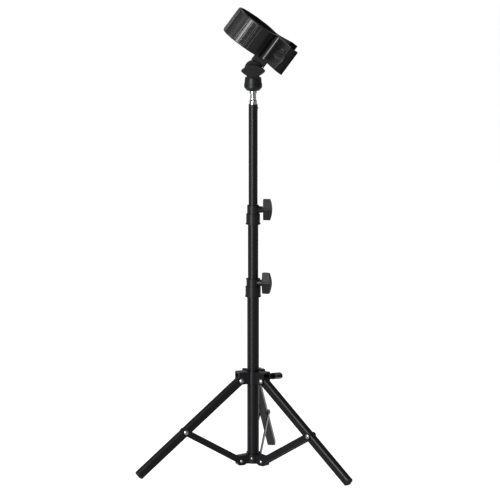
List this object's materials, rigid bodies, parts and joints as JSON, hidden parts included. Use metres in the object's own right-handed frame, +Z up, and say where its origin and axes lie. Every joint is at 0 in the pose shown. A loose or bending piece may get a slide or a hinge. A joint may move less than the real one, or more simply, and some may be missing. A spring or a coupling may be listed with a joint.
{
  "type": "tripod stand with clip holder",
  "caption": "Telescopic tripod stand with braced folding legs, lock knobs and a spring clip holder on a tilting, swivelling head.",
  "frame": {"origin": "on the column axis, at the floor that the feet stand on", "axes": "+Z up the column; +Y towards the back leg; +X to the side that the clip leans to"},
  "size_m": [0.4524, 0.4285, 0.9791],
  "materials": {
    "painted_steel": "black satin powder coat",
    "moulded_plastic": "fine moulded grain",
    "clip_plastic": "satin moulded",
    "foot_rubber": "matte",
    "grip_rubber": "matte",
    "chromed_steel": "polished",
    "zinc_steel": "bright zinc",
    "spring_steel": "drawn wire",
    "brass": "turned"
  },
  "bodies": {
    "column": {"lower_tube": "painted_steel", "tube_end_plug": "moulded_plastic", "brace_hub": "painted_steel", "hub_rivets": "zinc_steel", "hub_screws": "zinc_steel", "lower_collar": "moulded_plastic", "lower_lock_nut": "brass"},
    "lower_knob": {"lower_knob": "moulded_plastic", "lower_knob_screw": "zinc_steel"},
    "middle": {"middle_tube": "painted_steel", "middle_tube_bush": "moulded_plastic", "upper_collar": "moulded_plastic", "upper_lock_nut": "brass"},
    "upper_knob": {"upper_knob": "moulded_plastic", "upper_knob_screw": "zinc_steel"},
    "top": {"top_tube": "painted_steel", "top_tube_bush": "moulded_plastic", "spigot": "chromed_steel", "spigot_rivet": "zinc_steel"},
    "crown": {"crown": "painted_steel", "crown_bolts": "zinc_steel", "crown_cap_nuts": "zinc_steel", "crown_lock_nut": "brass"},
    "crown_knob": {"crown_knob": "moulded_plastic", "crown_knob_screw": "zinc_steel"},
    "head": {"head_base": "moulded_plastic", "swivel_sleeve": "brass", "tilt_bolt": "zinc_steel"},
    "tilt_knob": {"tilt_knob": "moulded_plastic", "tilt_knob_nut": "brass", "tilt_washer": "zinc_steel"},
    "bracket": {"tilt_bracket": "moulded_plastic", "jaw_pin": "zinc_steel", "pin_cap": "zinc_steel", "torsion_spring": "spring_steel"},
    "jaw_front": {"jaw_front": "clip_plastic", "jaw_front_lining": "grip_rubber"},
    "jaw_rear": {"jaw_rear": "clip_plastic", "jaw_rear_lining": "grip_rubber"},
    "leg_back": {"leg_back": "painted_steel", "pivot_plug_back": "moulded_plastic", "foot_cap_back": "foot_rubber"},
    "brace_back": {"brace_back": "painted_steel", "brace_rivets_back": "zinc_steel"},
    "leg_left": {"leg_left": "painted_steel", "pivot_plug_left": "moulded_plastic", "foot_cap_left": "foot_rubber"},
    "brace_left": {"brace_left": "painted_steel", "brace_rivets_left": "zinc_steel"},
    "leg_right": {"leg_right": "painted_steel", "pivot_plug_right": "moulded_plastic", "foot_cap_right": "foot_rubber"},
    "brace_right": {"brace_right": "painted_steel", "brace_rivets_right": "zinc_steel"}
  },
  "joints": [
    {"name": "middle_slide", "type": "slide", "parent": "column", "child": "middle", "axis": [0, 0, 1], "range_m": [-0.115, 0.154]},
    {"name": "top_slide", "type": "slide", "parent": "middle", "child": "top", "axis": [0, 0, 1], "range_m": [-0.2013, 0.085]},
    {"name": "lower_knob_turn", "type": "hinge", "parent": "column", "child": "lower_knob", "pos_m": [0.0197, -0.00836, 0.39953], "axis": [0.9205, -0.3907, 0], "range_deg": [0, 360]},
    {"name": "upper_knob_turn", "type": "hinge", "parent": "middle", "child": "upper_knob", "pos_m": [0.02082, -0.00182, 0.55403], "axis": [0.9962, -0.0872, 0], "range_deg": [0, 360]},
    {"name": "crown_slide", "type": "slide", "parent": "column", "child": "crown", "axis": [0, 0, 1], "range_m": [0, 0.12937]},
    {"name": "crown_knob_turn", "type": "hinge", "parent": "crown", "child": "crown_knob", "pos_m": [0.04014, 0.01541, 0.19643], "axis": [0.9336, 0.3584, 0], "range_deg": [0, 360]},
    {"name": "head_swivel", "type": "hinge", "parent": "top", "child": "head", "pos_m": [0, 0, 0.80533], "axis": [0, 0, 1], "continuous": true},
    {"name": "tilt_knob_turn", "type": "hinge", "parent": "head", "child": "tilt_knob", "pos_m": [0, 0, 0.84923], "axis": [0, -1, 0], "range_deg": [0, 360]},
    {"name": "clip_tilt", "type": "hinge", "parent": "head", "child": "bracket", "pos_m": [0, 0, 0.84923], "axis": [0, -1, 0], "range_deg": [-53.8, 126.2]},
    {"name": "jaw_open", "type": "hinge", "parent": "bracket", "child": "jaw_front", "pos_m": [0.03499, 0, 0.89704], "axis": [0.5906, 0, 0.807], "range_deg": [0, 22], "stiffness_Nm_per_rad": 0.6, "springref_deg": -34.38, "deforming": ["torsion_spring"]},
    {"name": "jaw_rear_open", "type": "hinge", "parent": "bracket", "child": "jaw_rear", "pos_m": [0.03499, 0, 0.89704], "axis": [0.5906, 0, 0.807], "range_deg": [-22, 0]},
    {"name": "leg_back_fold", "type": "hinge", "parent": "crown", "child": "leg_back", "pos_m": [0.00469, 0.02963, 0.19343], "axis": [-0.9877, 0.1564, 0], "range_deg": [0, 47.01]},
    {"name": "leg_left_fold", "type": "hinge", "parent": "crown", "child": "leg_left", "pos_m": [-0.02801, -0.01075, 0.19343], "axis": [0.3584, -0.9336, 0], "range_deg": [0, 47.01]},
    {"name": "leg_right_fold", "type": "hinge", "parent": "crown", "child": "leg_right", "pos_m": [0.02331, -0.01888, 0.19343], "axis": [0.6293, 0.7771, 0], "range_deg": [0, 47.01]},
    {"name": "brace_back_fold", "type": "hinge", "parent": "column", "child": "brace_back", "pos_m": [0.00469, 0.02963, 0.02143], "axis": [0.9877, -0.1564, 0], "range_deg": [0, 56.45]},
    {"name": "brace_left_fold", "type": "hinge", "parent": "column", "child": "brace_left", "pos_m": [-0.02801, -0.01075, 0.02143], "axis": [-0.3584, 0.9336, 0], "range_deg": [0, 56.45]},
    {"name": "brace_right_fold", "type": "hinge", "parent": "column", "child": "brace_right", "pos_m": [0.02331, -0.01888, 0.02143], "axis": [-0.6293, -0.7771, 0], "range_deg": [0, 56.45]}
  ],
  "couplings": [
    {"joint": "jaw_rear_open", "follows": "jaw_open", "ratio": -1},
    {"joint": "leg_back_fold", "follows": "crown_slide", "rad_per_m": 6.3391},
    {"joint": "leg_left_fold", "follows": "crown_slide", "rad_per_m": 6.3391},
    {"joint": "leg_right_fold", "follows": "crown_slide", "rad_per_m": 6.3391},
    {"joint": "brace_back_fold", "follows": "crown_slide", "rad_per_m": 7.6131},
    {"joint": "brace_left_fold", "follows": "crown_slide", "rad_per_m": 7.6131},
    {"joint": "brace_right_fold", "follows": "crown_slide", "rad_per_m": 7.6131}
  ]
}
